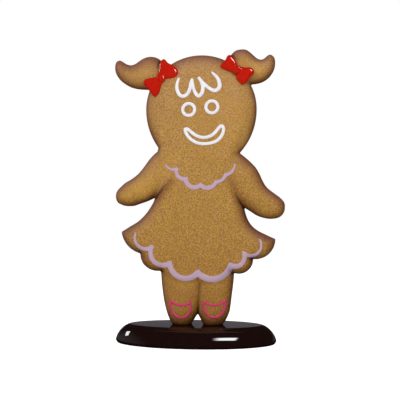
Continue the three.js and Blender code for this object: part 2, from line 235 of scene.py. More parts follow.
ARM_RIGHT = dict(
    outline=[
        (96, 614), (135, 591), (157, 574), (173, 559.5), (188, 543), (199.5, 523.5), (209, 502.5),
        (221.5, 483), (238, 469), (256, 456), (269.5, 444), (276, 434.5), (277.5, 422),
        (276, 409.5), (270.5, 399), (262.5, 391.5), (251.5, 387), (241, 385.5), (232, 385),
        (222, 386), (212, 388), (199, 392), (186, 398), (175, 405.5), (163, 413), (141, 427),
        (103, 457), (55, 485), (24, 510),
    ],
    line=[
        (60, 562, 63, 58), (95, 538, 66, 58), (127.5, 513, 64, 57), (149, 496, 60, 55),
        (176, 462.5, 50.5, 50), (193.5, 448, 46, 47), (214, 432.5, 44, 45), (236, 423, 38, 41),
    ],
)
LEG_LEFT = dict(
    outline=[
        (-107, 330), (-107, 210), (-105, 182), (-102, 156), (-98, 130), (-91.5, 102), (-83, 77),
        (-73, 59), (-60, 48), (-40, 44), (-22, 47), (-13, 57), (-7, 67), (0.5, 79), (8.5, 92),
        (15, 108), (23.5, 130), (30, 156), (35, 190), (37, 220), (37, 330),
    ],
    line=[(-36, 330, 50, 57), (-36, 200, 50, 55), (-38, 120, 48, 50), (-41, 57, 40, 44)],
)
LEG_RIGHT = dict(
    outline=[
        (0, 330), (0, 220), (0, 190), (0, 156), (2.5, 130), (5, 108), (7, 93), (13.5, 79),
        (20, 67), (25, 57), (34, 47), (52, 44), (70, 48), (82, 55), (91, 65), (99, 79), (106.5, 98),
        (110, 120), (113.5, 148), (118, 183), (120, 212), (120, 330),
    ],
    line=[(58, 330, 50, 57), (58, 200, 50, 55), (55, 120, 48, 50), (55, 57, 40, 44)],
)


def puff(share):
    """How thick dough is, as a share of its full thickness, so far from the middle of a round."""
    return np.clip(1 - np.clip(share, 0, 1) ** PUFF, 0, None) ** (1 / PUFF)


def from_stretch(start, end, x, z):
    """Distance of spots from a straight stretch, and how far along it they are as a share."""
    (ax, az), (bx, bz) = start, end
    ex, ez = bx - ax, bz - az
    along = np.clip(((x - ax) * ex + (z - az) * ez) / (ex**2 + ez**2), 0, 1)
    return np.hypot(x - ax - along * ex, z - az - along * ez), along


def inside_outline(outline, x, z):
    """How far each spot lies inside a closed outline: its least distance to any edge, with the
    sign that comes of counting the edges it has on its right."""
    least = np.full(np.broadcast(x, z).shape, np.inf)
    odd = np.zeros(least.shape, bool)
    for (ax, az), (bx, bz) in zip(outline, np.roll(outline, -1, axis=0)):
        least = np.minimum(least, from_stretch((ax, az), (bx, bz), x, z)[0])
        if az != bz:
            odd ^= ((z < az) != (z < bz)) & (x < ax + (z - az) / (bz - az) * (bx - ax))
    return np.where(odd, least, -least)


def softened(values, passes):
    """Neighbours on the grid averaged 1:2:1 both ways, so many times."""
    for _ in range(2 * passes):  # each turns the grid, so that the next goes the other way
        padded = np.pad(values, ((1, 1), (0, 0)), mode="edge")
        values = (padded[:-2] + 2 * padded[1:-1] + padded[2:]).T / 4
    return values


def without_ridges(inside, passes, from_depth, to_depth):
    """A distance has a ridge wherever two edges are equally near. Softening it only well inside
    takes the ridges off a lobe and leaves its outline sharp."""
    share = np.clip((inside - from_depth) / (to_depth - from_depth), 0, 1)
    return inside + (softened(inside, passes) - inside) * share


def inside_limb(limb, x, z):
    """How far spots lie inside a limb, and its half width and half thickness nearest to them."""
    inside = inside_outline(spline(limb["outline"], steps=5, closed=True), x, z)
    inside = without_ridges(inside, passes=6, from_depth=5, to_depth=20)
    line = spline(limb["line"], steps=8)
    nearest = np.argmin([np.hypot(x - cx, z - cz) for cx, cz in line[:, :2]], axis=0)
    return inside, *(softened(column[nearest], passes=3) for column in line.T[2:])


def larger(a, b, softness):
    """The larger of two fields. Where they differ by less than the softness, it rounds the join."""
    return np.maximum(a, b) + np.clip(1 - np.abs(a - b) / softness, 0, 1) ** 2 * softness / 4


def run_together(lobe, other, spread):
    """Joins two lobes, each given as (depth inside, width of its rim, half thickness). The deeper
    one counts, and where they differ by less than spread times their depth, one runs into the
    other."""
    (inside, *form), (inside2, *form2) = lobe, other
    reach = spread * np.maximum(np.maximum(inside, inside2), 0) + TINY
    mix = np.clip(0.5 + 0.5 * (inside2 - inside) / reach, 0, 1)
    return [larger(inside, inside2, reach), *(a + (b - a) * mix for a, b in zip(form, form2))]


# %% The dough's fields on the grid
MARGIN = 12
biscuit_low, biscuit_high = box_mm("biscuit")
grid_x = np.arange(biscuit_low[0] - MARGIN, biscuit_high[0] + MARGIN, GRID)
grid_z = np.arange(biscuit_low[2] - MARGIN, biscuit_high[2] + MARGIN, GRID)
gx, gz = grid_x[:, None], grid_z[None, :]

NECK_SPREAD = 3.0  # how softly two lobes run into each other, as a share of their depth
ARM_SPREAD = 0.65
PIGTAIL_SPREAD = 0.8
LEG_SPREAD = 0.05

head_outline = ellipse((0, 0), HEAD["half_width"], 1)
head_outline[:, 1] *= np.where(head_outline[:, 1] > 0, HEAD["up"], HEAD["down"])
head_outline += HEAD["middle"]
hem = scallops(HEM_CORNERS, HEM_SAGS, steps=16)
dress_left, dress_right = spline(DRESS_LEFT, steps=6), spline(DRESS_RIGHT, steps=6)
dress_outline = np.vstack([edge[:-1] for edge in (dress_left, hem, dress_right)])
full = np.full((len(grid_x), len(grid_z)), 1.0)
head = [inside_outline(head_outline, gx, gz), HEAD["rim"] * full, BODY_DEPTH * full]
dress_inside = inside_outline(dress_outline, gx, gz)
dress_inside = without_ridges(dress_inside, passes=10, from_depth=6, to_depth=24)
above_hem = np.clip((gz - HEM_FROM) / (HEM_TO - HEM_FROM), 0, 1)
dress_rim = HEM_RIM + (DRESS_RIM - HEM_RIM) * (3 - 2 * above_hem) * above_hem**2
dress = [dress_inside, dress_rim * full, BODY_DEPTH * full]

upper = run_together(head, dress, NECK_SPREAD)
for arm in (ARM_LEFT, ARM_RIGHT):
    upper = run_together(upper, inside_limb(arm, gx, gz), ARM_SPREAD)
for pigtail in (PIGTAIL_LEFT, PIGTAIL_RIGHT):
    upper = run_together(upper, inside_limb(pigtail, gx, gz), PIGTAIL_SPREAD)
legs = run_together(inside_limb(LEG_LEFT, gx, gz), inside_limb(LEG_RIGHT, gx, gz), LEG_SPREAD)
print("dough grid:", full.shape)

# %% [markdown]
# ## From field to surface
#
# The field is positive in the dough and negative outside. The surface lies where it turns: each
# cube of a grid that the surface passes through gets one point, at the mean of the places where
# its edges are crossed, and each crossed edge gives one four-sided face. A few Newton steps then
# put the points exactly on the surface, so that light runs over it without ripples.

# %% Surface of a field
NUDGE = 1 / 8  # of the spacing: how far apart the field is felt for its slope
FLATTEST = 0.05  # least square of a slope that a step is divided by
LONGEST_STEP = 0.3  # of the spacing
NEWTON_STEPS = 4


def at(values, x, z, start=(grid_x[0], grid_z[0]), spacing=GRID):
    """Bilinear value of a grid at any spots."""
    u = np.clip((x - start[0]) / spacing, 0, values.shape[0] - 1.001)
    v = np.clip((z - start[1]) / spacing, 0, values.shape[1] - 1.001)
    i, j = u.astype(int), v.astype(int)
    u, v = u - i, v - j
    low = values[i, j] * (1 - u) + values[i + 1, j] * u
    high = values[i, j + 1] * (1 - u) + values[i + 1, j + 1] * u
    return low * (1 - v) + high * v


def surface_points(values):
    """One point for each cube that the surface crosses, in grid units, and each cube's number."""
    cells = np.array(values.shape) - 1
    total, crossings = np.zeros((*cells, 3)), np.zeros(cells)
    for axis, sides in product(range(3), product((0, 1), repeat=2)):
        low = np.insert(sides, axis, 0)
        high = np.insert(sides, axis, 1)
        a, b = (values[tuple(slice(k, k + n) for k, n in zip(c, cells))] for c in (low, high))
        crossed = (a > 0) != (b > 0)
        place = np.where(crossed, a / np.where(crossed, a - b, 1), 0)
        total += crossed[..., None] * low
        total[..., axis] += place
        crossings += crossed
    used = crossings > 0
    number = np.full(cells, -1)
    number[used] = np.arange(used.sum())
    return np.argwhere(used) + total[used] / crossings[used][:, None], number


def surface_faces(values, number):
    """One quad of cubes round each grid edge that the surface crosses, turned to face outwards."""
    quads = []
    for axis in range(3):
        u, v = np.eye(3, dtype=int)[(axis + 1) % 3], np.eye(3, dtype=int)[(axis + 2) % 3]
        ahead = np.eye(3, dtype=int)[axis]
        ends = np.array(values.shape) - ahead
        near = values[tuple(slice(0, n) for n in ends)] > 0
        far = values[tuple(slice(k, k + n) for k, n in zip(ahead, ends))] > 0
        for facing, way in ((near & ~far, 1), (far & ~near, -1)):
            edge = np.argwhere(facing)
            ring = [edge, edge - u, edge - u - v, edge - v][::way]
            quads.append(np.column_stack([number[tuple(cell.T)] for cell in ring]))
    return np.vstack(quads)


def surface_of(field, low, high, spacing):
    """Points and faces of the closed surface where field(x, y, z) is zero."""
    axes = [np.arange(a, b + spacing, spacing) for a, b in zip(low, high)]
    values = field(axes[0][:, None, None], axes[1][None, :, None], axes[2][None, None, :])
    points, number = surface_points(values)
    faces = surface_faces(values, number)
    points = points * spacing + [axis[0] for axis in axes]
    nudge = spacing * NUDGE
    for _ in range(NEWTON_STEPS):
        off = field(*points.T)
        slope = np.column_stack(
            [
                (field(*(points + step).T) - field(*(points - step).T)) / (2 * nudge)
                for step in np.eye(3) * nudge
            ]
        )
        move = slope * (off / np.maximum((slope**2).sum(1), FLATTEST))[:, None]
        size = np.linalg.norm(move, axis=1, keepdims=True)
        points = points - move * np.minimum(1, LONGEST_STEP * spacing / np.maximum(size, TINY))
    return points, faces.tolist()


def make_piece(name, points, faces):
    """A smooth-shaded mesh object at the origin, from points in millimetres."""
    mesh = bpy.data.meshes.new(name)
    mesh.from_pydata((points * MM).tolist(), [], faces)
    mesh.polygons.foreach_set("use_smooth", np.ones(len(mesh.polygons), bool))
    mesh.validate()
    piece = bpy.data.objects.new(name, mesh)
    bpy.context.scene.collection.objects.link(piece)
    return piece


def bell(distance, reach):
    """The strength of a soft spot or stroke so far from its middle."""
    return np.exp(-((distance / reach) ** 2))


def told(piece):
    """Prints a piece's size in millimetres and its triangles."""
    corners = np.array([v.co for v in piece.data.vertices]) / MM
    triangles = sum(len(p.vertices) - 2 for p in piece.data.polygons)
    print(piece.name, (np.ptp(corners, axis=0)).round(1), "mm,", triangles, "triangles")


# %% [markdown]
# ## The biscuit
#
# Upper body and legs stay two fields, because the skirt hangs over the legs and its hem should
# show as an edge in front of them. The soles are cut level where they stand on the plinth.

# %% Biscuit
HEM_SOFTNESS = 6.0  # how far the skirt and the legs run into each other
SKIN_GRID = 3.3  # spacing of the biscuit's surface
SOLE = biscuit_low[2]


def slab(inside, rim, depth, y, power):
    """Positive inside a slab whose edge is a superellipse: the share of the rim that is left, to
    the power, and the share of half the thickness, to the power, come to 1 on its surface."""
    left = np.clip(1 - inside / rim, 0, None)
    return rim * (1 - (left**power + np.abs(y / depth) ** power) ** (1 / power))


def dough(part, x, y, z):
    """Positive inside one group of lobes."""
    return slab(*(at(values, x, z) for values in part), y, PUFF)


def biscuit_field(x, y, z):
    """The larger of the two groups, run together at the hem, and cut level at the soles."""
    return np.minimum(larger(dough(upper, x, y, z), dough(legs, x, y, z), HEM_SOFTNESS), z - SOLE)


def skin(x, z):
    """Y of the biscuit's front skin."""
    fronts = []
    for inside, rim, depth in (upper, legs):
        share = np.clip(at(inside, x, z) / at(rim, x, z), 0, 1)
        fronts.append(-at(depth, x, z) * puff(1 - share))
    return np.minimum(*fronts)


low, high = biscuit_low - 2 * SKIN_GRID, biscuit_high + 2 * SKIN_GRID
points, faces = surface_of(biscuit_field, low, high, SKIN_GRID)
biscuit = make_piece("gingerbread", points, faces)
told(biscuit)

# %% [markdown]
# The figure is darker all round its edges: the painter browned them with an airbrush, and
# painted shade lies over that, in a wider band at the tips that bake first and at the soles,
# with soft strokes of brown and painted shade at the armpits and between the legs, and painted
# shade in the creases between the lobes. A few spots are paler, sprayed thinner, and some are
# lifted by painted light where shade falls. Each is a short list of places. The mesh carries
# what they come to, as one number for each vertex under a name that the paint can read, and
# also how far each vertex faces the light whose pinkish sheen is painted on.

# %% Where the paint is browned, and where shade, light and sheen are painted
NARROW_BAND = 12.0  # how far in from the outline browning and painted shade go, mostly
WIDER_BANDS = [  # x, z, radius, and how much further in the browning and painted shade go there
    (20, 890, 90, 11),  # head, from the top down
    (200, 720, 60, -4),
    (-130, 640, 45, 4),
    (155, 612, 40, -10),
    (-150, 888, 50, 20),  # left pigtail
    (-215, 855, 45, 10),
    (-180, 795, 50, -3),
    (145, 905, 50, 9),  # right pigtail
    (235, 860, 45, 2),
    (170, 803, 22, -4),
    (-235, 455, 40, 5),  # left sleeve
    (-156, 460, 25, -6),
    (152, 564, 24, 9),  # right sleeve
    (190, 500, 60, 5),
    (262, 430, 35, 5),
    (215, 395, 30, -5),
    (-122, 432, 26, 7),  # dress under the arms
    (-145, 420, 50, 2),
    (165, 400, 60, 3),
    (-230, 335, 45, 14),  # flares of the skirt
    (248, 322, 45, 14),
    (222, 288, 28, -8),
    (-158, 258, 34, 22),  # its waves
    (10, 180, 80, -6),
    (-42, 66, 30, 19),  # toes, browned and with painted shade
    (60, 66, 30, 24),
]
STROKES = [  # from, to, half width and strength of soft strokes of airbrushed brown and painted shade
    ((-106, 448), (-70, 500), 12, 0.6),  # armpits
    ((140, 440), (113, 504), 14, 0.45),
    ((160, 440), (190, 424), 14, 0.25),
    ((-72, 862), (-52, 850), 10, 0.4),  # beside the left bow
    ((-103, 728), (-90, 736), 16, 0.12),  # cheek
    ((12, 115), (17, 185), 13, 0.15),  # between the legs
    ((24, 92), (34, 68), 9, 0.4),  # inside of the right foot
]
# Paler spots: partly a thinner spray, partly painted light that lifts shade, as under the hem.
THIN_AND_LIT = [  # x, z and radius of where the brown coats are paler, and how much
    (-160, 815, 50, 0.6),  # pigtails
    (178, 832, 50, 1.0),
    (138, 862, 25, 0.6),
    (90, 700, 100, 0.35),  # head
    (-88, 540, 45, 0.5),  # left shoulder, with painted light, sleeve and hand
    (-165, 480, 45, 1.0),
    (-215, 460, 35, 0.8),
    (-32, 198, 28, 0.7),  # legs under the hem, painted light where its shadow falls
    (60, 200, 28, 0.6),
]
CREASES = [  # from, to, half width of painted shade in a crease; each fades on its way in
    ((-108, 872), (-116, 844), 4.5),  # roots of the pigtails
    ((112, 886), (133, 866), 7),
    ((-117, 603), (-100, 606), 5),  # left of the neck
    ((-119, 449), (-80, 498), 5),  # armpits
    ((151, 419), (123, 470), 3),
    ((-172, 276), (-160, 284), 5),  # notches of the hem
    ((-102, 222), (-92, 232), 5),
    ((114, 221), (104, 232), 5),
    ((179, 261), (168, 272), 5),
    ((9, 90), (13.5, 130), 4),  # between the feet
]
# Painted shade in the groove between the legs.
GROOVE = dict(start=(9, 90), end=(18, 198), half_width=3.5, strength=0.45)  # between the legs
BAND_POWER = 1.5  # how abruptly a band of browning ends
EDGE_ON = 0.5  # sides are browned, with painted shade, where the normal's front or back share is below this
SHEEN_FROM = np.array([-0.4, 0.0, 0.92])  # side of a cool light, whose pinkish sheen is painted
# The soles' dark edge is browning and painted shade where the feet stand on the plinth.
SOLE_DARK_HEIGHT, SOLE_DARK = 17.0, 0.9  # height over which the soles' dark edge fades, and its strength

normals = np.empty(len(points) * 3, np.float32)
biscuit.data.vertices.foreach_get("normal", normals)
normals = normals.reshape(-1, 3)
x, y, z = points.T
in_front = dough(upper, x, y, z) > dough(legs, x, y, z)
depth_inside = np.maximum(at(upper[0], x, z), np.maximum(at(legs[0], x, z), 0))
band = np.full(len(points), NARROW_BAND)
for spot_x, spot_z, radius, further in WIDER_BANDS:
    band += further * bell(np.hypot(x - spot_x, z - spot_z), radius)
browned_and_shaded = np.exp(-((depth_inside / band) ** BAND_POWER))
browned_and_shaded = np.maximum(browned_and_shaded, 1 - np.abs(normals[:, 1]) / EDGE_ON)
for start, end, half_width, strength in STROKES:
    distance, along = from_stretch(start, end, x, z)
    browned_and_shaded += (1 - browned_and_shaded) * strength * bell(distance, half_width) * (y < 0)
thin_and_lit = np.zeros(len(points))
for spot_x, spot_z, radius, strength in THIN_AND_LIT:
    thin_and_lit = np.maximum(thin_and_lit, strength * bell(np.hypot(x - spot_x, z - spot_z), radius))
distance, along = from_stretch(GROOVE["start"], GROOVE["end"], x, z)
creased = GROOVE["strength"] * bell(distance, GROOVE["half_width"]) * ~in_front
for start, end, half_width in CREASES:
    distance, along = from_stretch(start, end, x, z)
    creased = np.maximum(creased, (1 - along**2) * bell(distance, half_width))
creased = np.maximum(creased, SOLE_DARK * np.exp(-((z - SOLE) / SOLE_DARK_HEIGHT)))
# sheen: how much each vertex faces the light whose sheen is painted on
carried = {"browned_and_shaded": browned_and_shaded, "thin_and_lit": thin_and_lit, "sheen": normals @ SHEEN_FROM, "crease": creased}
for name, values in carried.items():
    attribute = biscuit.data.attributes.new(name, "FLOAT", "POINT")
    attribute.data.foreach_set("value", values.astype(np.float32))
    print(name, "from", round(float(values.min()), 2), "to", round(float(values.max()), 2))

# %% [markdown]
# ## Icing lines
#
# A piped line is a rounded bead that lies on the skin. Each is one closed tube: a section carried
# along the line, square to it and standing on the skin's own slope, with the corners mitred. A
# voxel remesh then welds the stretches that cross at a cusp, and a light smoothing takes off the
# grid's steps, which leaves the soft join that a nozzle makes.

# %% Beads on the skin
LINE_SPACING = 1.5
SECTION_POINTS = 28
BEAD_POWER = 2.6  # a squarer round than a circle's 2
FLAT_BEAD_POWER = 3.0  # collar and hem are flatter ribbons of icing
SUNK = 2.5  # how deep a bead's back lies in the biscuit
VOXEL, SMOOTH_PASSES = 0.8, 5
SHARPEST = 0.8  # least cosine of half the turn at a mitre
STEEPEST = 0.45  # most that a bead rises, as a share of its width
END_ROWS = 5  # sections in a rounded end
REACH = 1.5  # over which the skin's slope is felt, each way


def unit(vectors):
    """Vectors of length 1 that run the same way."""
    return vectors / np.linalg.norm(vectors, axis=-1, keepdims=True)


def skin_frame(x, z):
    """Points of the skin and its outward normals, from the slope over a short reach."""
    y = skin(x, z)
    slope_x = (skin(x + REACH, z) - skin(x - REACH, z)) / (2 * REACH)
    slope_z = (skin(x, z + REACH) - skin(x, z - REACH)) / (2 * REACH)
    normal = np.stack([slope_x, -np.ones_like(y), slope_z], axis=-1)
    return np.stack([x, y, z], axis=-1), unit(normal)


def bead(line, relief, closed=False, power=BEAD_POWER):
    """A tube along a line of (x, z, width). Its section is a superellipse: half the width across,
    the relief above the skin, and a shallow back under it. The ends are rounded over half their
    width."""
    line = evenly(line, LINE_SPACING, closed)
    spots, width = line[:, :2], line[:, 2]
    if closed:
        beyond = [spots[-1], spots[0]]
    else:
        beyond = [2 * spots[0] - spots[1], 2 * spots[-1] - spots[-2]]
    row = np.vstack([beyond[0], spots, beyond[1]])
    arriving, leaving = unit(spots - row[:-2]), unit(row[2:] - spots)
    heading = unit(arriving + leaving)
    mitre = np.maximum((heading * arriving).sum(1), SHARPEST)
    half, height = width / 2 / mitre, np.minimum(relief, STEEPEST * width)
    rows = np.column_stack([spots, heading, half, height])
    if not closed:
        turn = np.linspace(0, np.pi / 2, END_ROWS + 1)[1:, None]
        first, last = (
            np.hstack([
                rows[k, :2] + way * np.sin(turn) * rows[k, 4] * rows[k, 2:4],
                np.repeat(rows[k, None, 2:4], END_ROWS, axis=0),
                rows[k, 4:] * np.cos(turn),
            ])
            for k, way in ((0, -1), (-1, 1))
        )
        rows = np.vstack([first[::-1], rows, last])
    x, z, heading_x, heading_z, half, height = rows.T[:, :, None]
    angle = np.linspace(0, 2 * np.pi, SECTION_POINTS, endpoint=False)
    cosine, sine = (np.sign(f) * np.abs(f) ** (2 / power) for f in (np.cos(angle), np.sin(angle)))
    across = half * cosine
    above = np.where(sine > 0, height, SUNK) * sine
    ground, normal = skin_frame(x + heading_z * across, z - heading_x * across)
    return ground + normal * above[..., None]


def tube_faces(rows, columns, closed, first=0):
    """Quads between neighbouring sections, and a face that closes each end of an open tube."""
    here = first + np.arange(rows * columns).reshape(rows, columns)
    ahead = np.roll(here, -1, axis=0)
    quads = np.stack([here, np.roll(here, -1, axis=1), np.roll(ahead, -1, axis=1), ahead], axis=-1)
    if closed:
        return quads.reshape(-1, 4).tolist()
    ends = [here[0, ::-1].tolist(), here[-1].tolist()]
    return quads[:-1].reshape(-1, 4).tolist() + ends


def fused(name, tubes):
    """One piece from several closed tubes: welded by a voxel remesh, then smoothed."""
    faces, first = [], 0
    for tube, closed in tubes:
        faces += tube_faces(*tube.shape[:2], closed, first)
        first += tube.shape[0] * tube.shape[1]
    piece = make_piece(name, np.vstack([tube.reshape(-1, 3) for tube, _ in tubes]), faces)
    weld = piece.modifiers.new("weld", "REMESH")
    weld.mode = "VOXEL"
    weld.voxel_size = VOXEL * MM
    weld.use_smooth_shade = True
    ease = piece.modifiers.new("ease", "SMOOTH")
    ease.factor = 0.5
    ease.iterations = SMOOTH_PASSES
    evaluated = piece.evaluated_get(bpy.context.evaluated_depsgraph_get())
    final = bpy.data.meshes.new_from_object(evaluated)
    piece.modifiers.clear()
    piece.data = final
    told(piece)
    return piece


def with_width(line, widths):
    """A line with its width as a third column, from widths at evenly spaced stations."""
    share = np.linspace(0, 1, len(line))
    return np.column_stack([line, np.interp(share, np.linspace(0, 1, len(widths)), widths)])


def piped(name, line, widths, relief, closed=True, power=BEAD_POWER):
    """One piece of icing from a single line."""
    return fused(name, [(bead(with_width(line, widths), relief, closed, power), closed)])


# %% Icing lines, in mm
HAIR_RELIEF = 4.5
CURLS = [  # x and z of the middle line, and widths at even stations
    (
        [(-45, 813), (-48.5, 802), (-50.5, 788), (-47.5, 774), (-40.5, 763), (-32, 759.5),
         (-22, 763), (-14.5, 772), (-9.5, 785), (-7, 799), (-4, 809)],
        [7, 9.5, 11, 11.5, 11.5, 11, 11, 11, 11, 11, 10.5],
    ),
    (
        [(-4, 809), (-1.5, 794.5), (2, 780), (7.5, 767), (15.5, 760), (23.5, 764.5),
         (28.5, 775), (29.5, 787), (26, 800), (21.5, 809), (18, 814)],
        [10, 10, 10, 11, 11.5, 12, 12, 12, 11, 10.5, 10.5],
    ),
    (
        [(18, 814), (25, 805), (35, 795), (46, 785), (56.5, 778.5), (66.5, 776), (76, 780.5),
         (80.5, 790.5), (78.5, 804.5), (72, 816.5), (64.5, 824.5), (58.5, 830)],
        [10.5, 10, 10, 11, 11.5, 12, 12.5, 13, 11.5, 10, 8.5, 7],
    ),
]
EYE_RADIUS, EYE_WIDTH, EYE_RELIEF = 18.3, 10, 4.5
EYES = {"left": (-14, 719), "right": (57, 726)}
MOUTH_WIDTH, MOUTH_RELIEF = 10.4, 4.5
MOUTH = [
    (-21, 660.5), (-9.5, 653.5), (2, 644), (15.5, 637), (32, 633.5), (48.5, 636.5), (62.5, 644.5),
    (73.5, 656.5), (82, 666.5), (88, 668), (92, 662.5), (91.5, 650), (84.5, 635.5), (71.5, 623),
    (54, 616.5), (35, 614.5), (15.5, 616.5), (-0.5, 623.5), (-14.5, 635.5), (-23, 649),
    (-24.5, 658.5),
]
COLLAR_RELIEF = 3
COLLAR_CORNERS = [(-85, 551), (-51, 538), (-23, 508), (22, 489), (69, 498), (98, 520), (125, 552)]
COLLAR_SAGS = [7, 12, 16, 13, 6.5, 9]
COLLAR_WIDTHS = [5.5, 8, 11.5, 12, 14, 14, 14, 14.5, 12, 10.5, 11, 9, 5.5]
TRIM_RELIEF = 2.6
TRIM_CORNERS = [(-178, 340), (-128, 299), (-72, 250), (14, 222), (114, 245), (153, 284), (201, 323)]
TRIM_SAGS = [24, 28, 31, 30.5, 19.5, 28]
TRIM_WIDTHS = [6.5, 10.8, 14.5, 14.3, 16.5, 17.7, 19.5, 20.3, 18, 14, 12, 9.2, 5.2]
SHOE_RELIEF, SHOE_WIDTH, SHOE_DIP = 4, 7.4, 11.5
SHOES = {  # marks round the toe, from one corner of the opening to the other
    "left": [
        (-70.5, 134.5), (-72, 117), (-67.5, 101), (-56, 88), (-40.5, 82.5), (-25, 87), (-14.5, 99),
        (-10, 117), (-11.5, 130.5),
    ],
    "right": [
        (32, 132), (31, 118), (36.5, 101), (48.5, 89), (64, 85), (79, 90), (89.5, 103), (93.5, 119),
        (94, 135.5),
    ],
}


def shoe_line(marks):
    """A slipper's outline: a curve round the toe, and a hanging line over the instep."""
    toe = spline(marks, steps=12)
    return np.vstack([toe, arc(toe[0], toe[-1], SHOE_DIP, steps=30)[::-1][1:-1]])


curls = [bead(with_width(spline(marks, steps=20), widths), HAIR_RELIEF) for marks, widths in CURLS]
hair = fused("hair_icing", [(curl, False) for curl in curls])
smile = spline(MOUTH, steps=12, closed=True)
mouth = piped("mouth_icing", smile, [MOUTH_WIDTH], MOUTH_RELIEF)
eyes, shoes = {}, {}
for side, middle in EYES.items():
    ring = ellipse(middle, EYE_RADIUS, EYE_RADIUS)
    eyes[side] = piped("eye_icing_" + side, ring, [EYE_WIDTH], EYE_RELIEF)
for side, marks in SHOES.items():
    shoes[side] = piped("shoe_icing_" + side, shoe_line(marks), [SHOE_WIDTH], SHOE_RELIEF)
collar, trim = (
    piped(name, scallops(corners, sags, steps), widths, relief, closed=False, power=FLAT_BEAD_POWER)
    for name, corners, sags, steps, widths, relief in (
        ("collar_icing", COLLAR_CORNERS, COLLAR_SAGS, 24, COLLAR_WIDTHS, COLLAR_RELIEF),
        ("hem_icing", TRIM_CORNERS, TRIM_SAGS, 32, TRIM_WIDTHS, TRIM_RELIEF),
    )
)

# %% [markdown]
# ## Sugar bows
#
# Each bow is two flat loops with rounded edges and a knot that stands a little proud. They are
# made as the dough is, on a finer grid. The loops thin towards the knot, where a ribbon would be
# pinched.

# %% Bows
BOW_GRID, BOW_MARGIN = 1.0, 6
BOW_DEPTH = 12  # half a loop's thickness
BOW_RIM = 12  # how far in from its outline a loop is rounded
BOW_PUFF = 2.3
KNOT_PROUD = 4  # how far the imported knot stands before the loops
KNOT_RISE = 0.7  # how far its flat face does
KNOT_RIM = 6
PINCH = 0.22  # how much thinner a loop is at the knot
PINCH_REACH = 22
BOW_SOFTNESS = 2.0  # how far loops and knot run into each other
BOWS = {
    "left": dict(
        knot=(-100, 817), knot_size=(12, 16), turn=41,
        loops=[
            [(-91, 815), (-67, 814), (-50, 821), (-46, 835), (-58, 852), (-78, 863), (-91, 875),
             (-103, 865), (-105, 845), (-107, 828)],
            [(-108, 820), (-131, 818), (-151, 812), (-156, 802), (-140, 783), (-127, 766),
             (-117, 759), (-105, 771), (-98, 795), (-94, 808)],
        ],
    ),
    "right": dict(
        knot=(134, 838), knot_size=(12, 14.5), turn=-36,
        loops=[
            [(134, 853), (129.5, 866), (122, 877), (111, 884), (103, 880), (97, 868), (86, 858),
             (82, 850), (89, 842), (104, 836), (124, 831)],
            [(134, 829), (130, 815), (139, 800), (151, 793), (160, 799), (175, 817), (186, 831),
             (178, 843), (157, 846), (140, 847)],
        ],
    ),
}


def make_bow(side, knot, knot_size, turn, loops):
    """Two loops and a knot as one surface, level with its CAD node in depth."""
    low, high = box_mm("bow_" + side)
    middle = low[1] + KNOT_PROUD + BOW_DEPTH
    xs, zs = (np.arange(low[k] - BOW_MARGIN, high[k] + BOW_MARGIN, BOW_GRID) for k in (0, 2))
    spot_x, spot_z = xs[:, None], zs[None, :]
    near = np.hypot(spot_x - knot[0], spot_z - knot[1])
    thickness = BOW_DEPTH * (1 - PINCH * bell(near, PINCH_REACH))
    lobes = []
    for loop in loops:
        inside = inside_outline(spline(loop, steps=8, closed=True), spot_x, spot_z)
        inside = without_ridges(inside, passes=8, from_depth=2, to_depth=6)
        lobes.append((inside, BOW_RIM, thickness))
    band = inside_outline(ellipse(knot, *knot_size, turn, steps=60), spot_x, spot_z)
    lobes.append((band, KNOT_RIM, np.full(near.shape, float(BOW_DEPTH + KNOT_RISE))))

    def bow_field(x, y, z):
        """The largest of the three lobes, run together a little where they meet."""
        total = -np.inf
        for inside, rim, depth in lobes:
            inside, depth = (at(v, x, z, (xs[0], zs[0]), BOW_GRID) for v in (inside, depth))
            total = larger(total, slab(inside, rim, depth, y - middle, BOW_PUFF), BOW_SOFTNESS)
        return total

    margin, reach = BOW_MARGIN - 2 * BOW_GRID, BOW_DEPTH + BOW_MARGIN
    corner_low = np.array([low[0] - margin, middle - reach, low[2] - margin])
    corner_high = np.array([high[0] + margin, middle + reach, high[2] + margin])
    points, faces = surface_of(bow_field, corner_low, corner_high, BOW_GRID)
    piece = make_piece("sugar_bow_" + side, points, faces)
    told(piece)
    return piece


bows = {side: make_bow(side, **shape) for side, shape in BOWS.items()}

# %% [markdown]
# ## The plinth
#
# A moulded plinth like this is one profile carried round an ellipse: a small drawn-in lip at the
# floor, a full shoulder, and a flat top.

# %% Plinth
LIP_HEIGHT, LIP_INSET, LIP_POWER = 8, 5, 1.5
SHOULDER, SHOULDER_POWER = 46, 1.6
PLINTH_SIDES, LIP_ROWS, SHOULDER_ROWS = 256, 8, 48

plinth_low, plinth_high = box_mm("base")
half_width, half_depth = (plinth_high - plinth_low)[:2] / 2
plinth_height = plinth_high[2]
turn = np.linspace(0, np.pi / 2, LIP_ROWS)
lip_z, lip_inset = LIP_HEIGHT * np.sin(turn), LIP_INSET * (1 - np.sin(turn)) ** LIP_POWER
turn = np.linspace(0, np.pi / 2, SHOULDER_ROWS)[1:]
shoulder_z = LIP_HEIGHT + (plinth_height - LIP_HEIGHT) * np.sin(turn) ** (2 / SHOULDER_POWER)
shoulder_inset = SHOULDER * (1 - np.abs(np.cos(turn)) ** (2 / SHOULDER_POWER))
profile_z = np.concatenate([lip_z, shoulder_z])[:, None]
profile_inset = np.concatenate([lip_inset, shoulder_inset])[:, None]
around = np.linspace(0, 2 * np.pi, PLINTH_SIDES, endpoint=False)[None, :]
rows = np.stack(
    np.broadcast_arrays(
        (half_width - profile_inset) * np.cos(around),
        (half_depth - profile_inset) * np.sin(around),
        profile_z,
    ),
    axis=-1,
)
faces = tube_faces(*rows.shape[:2], closed=False)
plinth = make_piece("plinth", rows.reshape(-1, 3), faces)
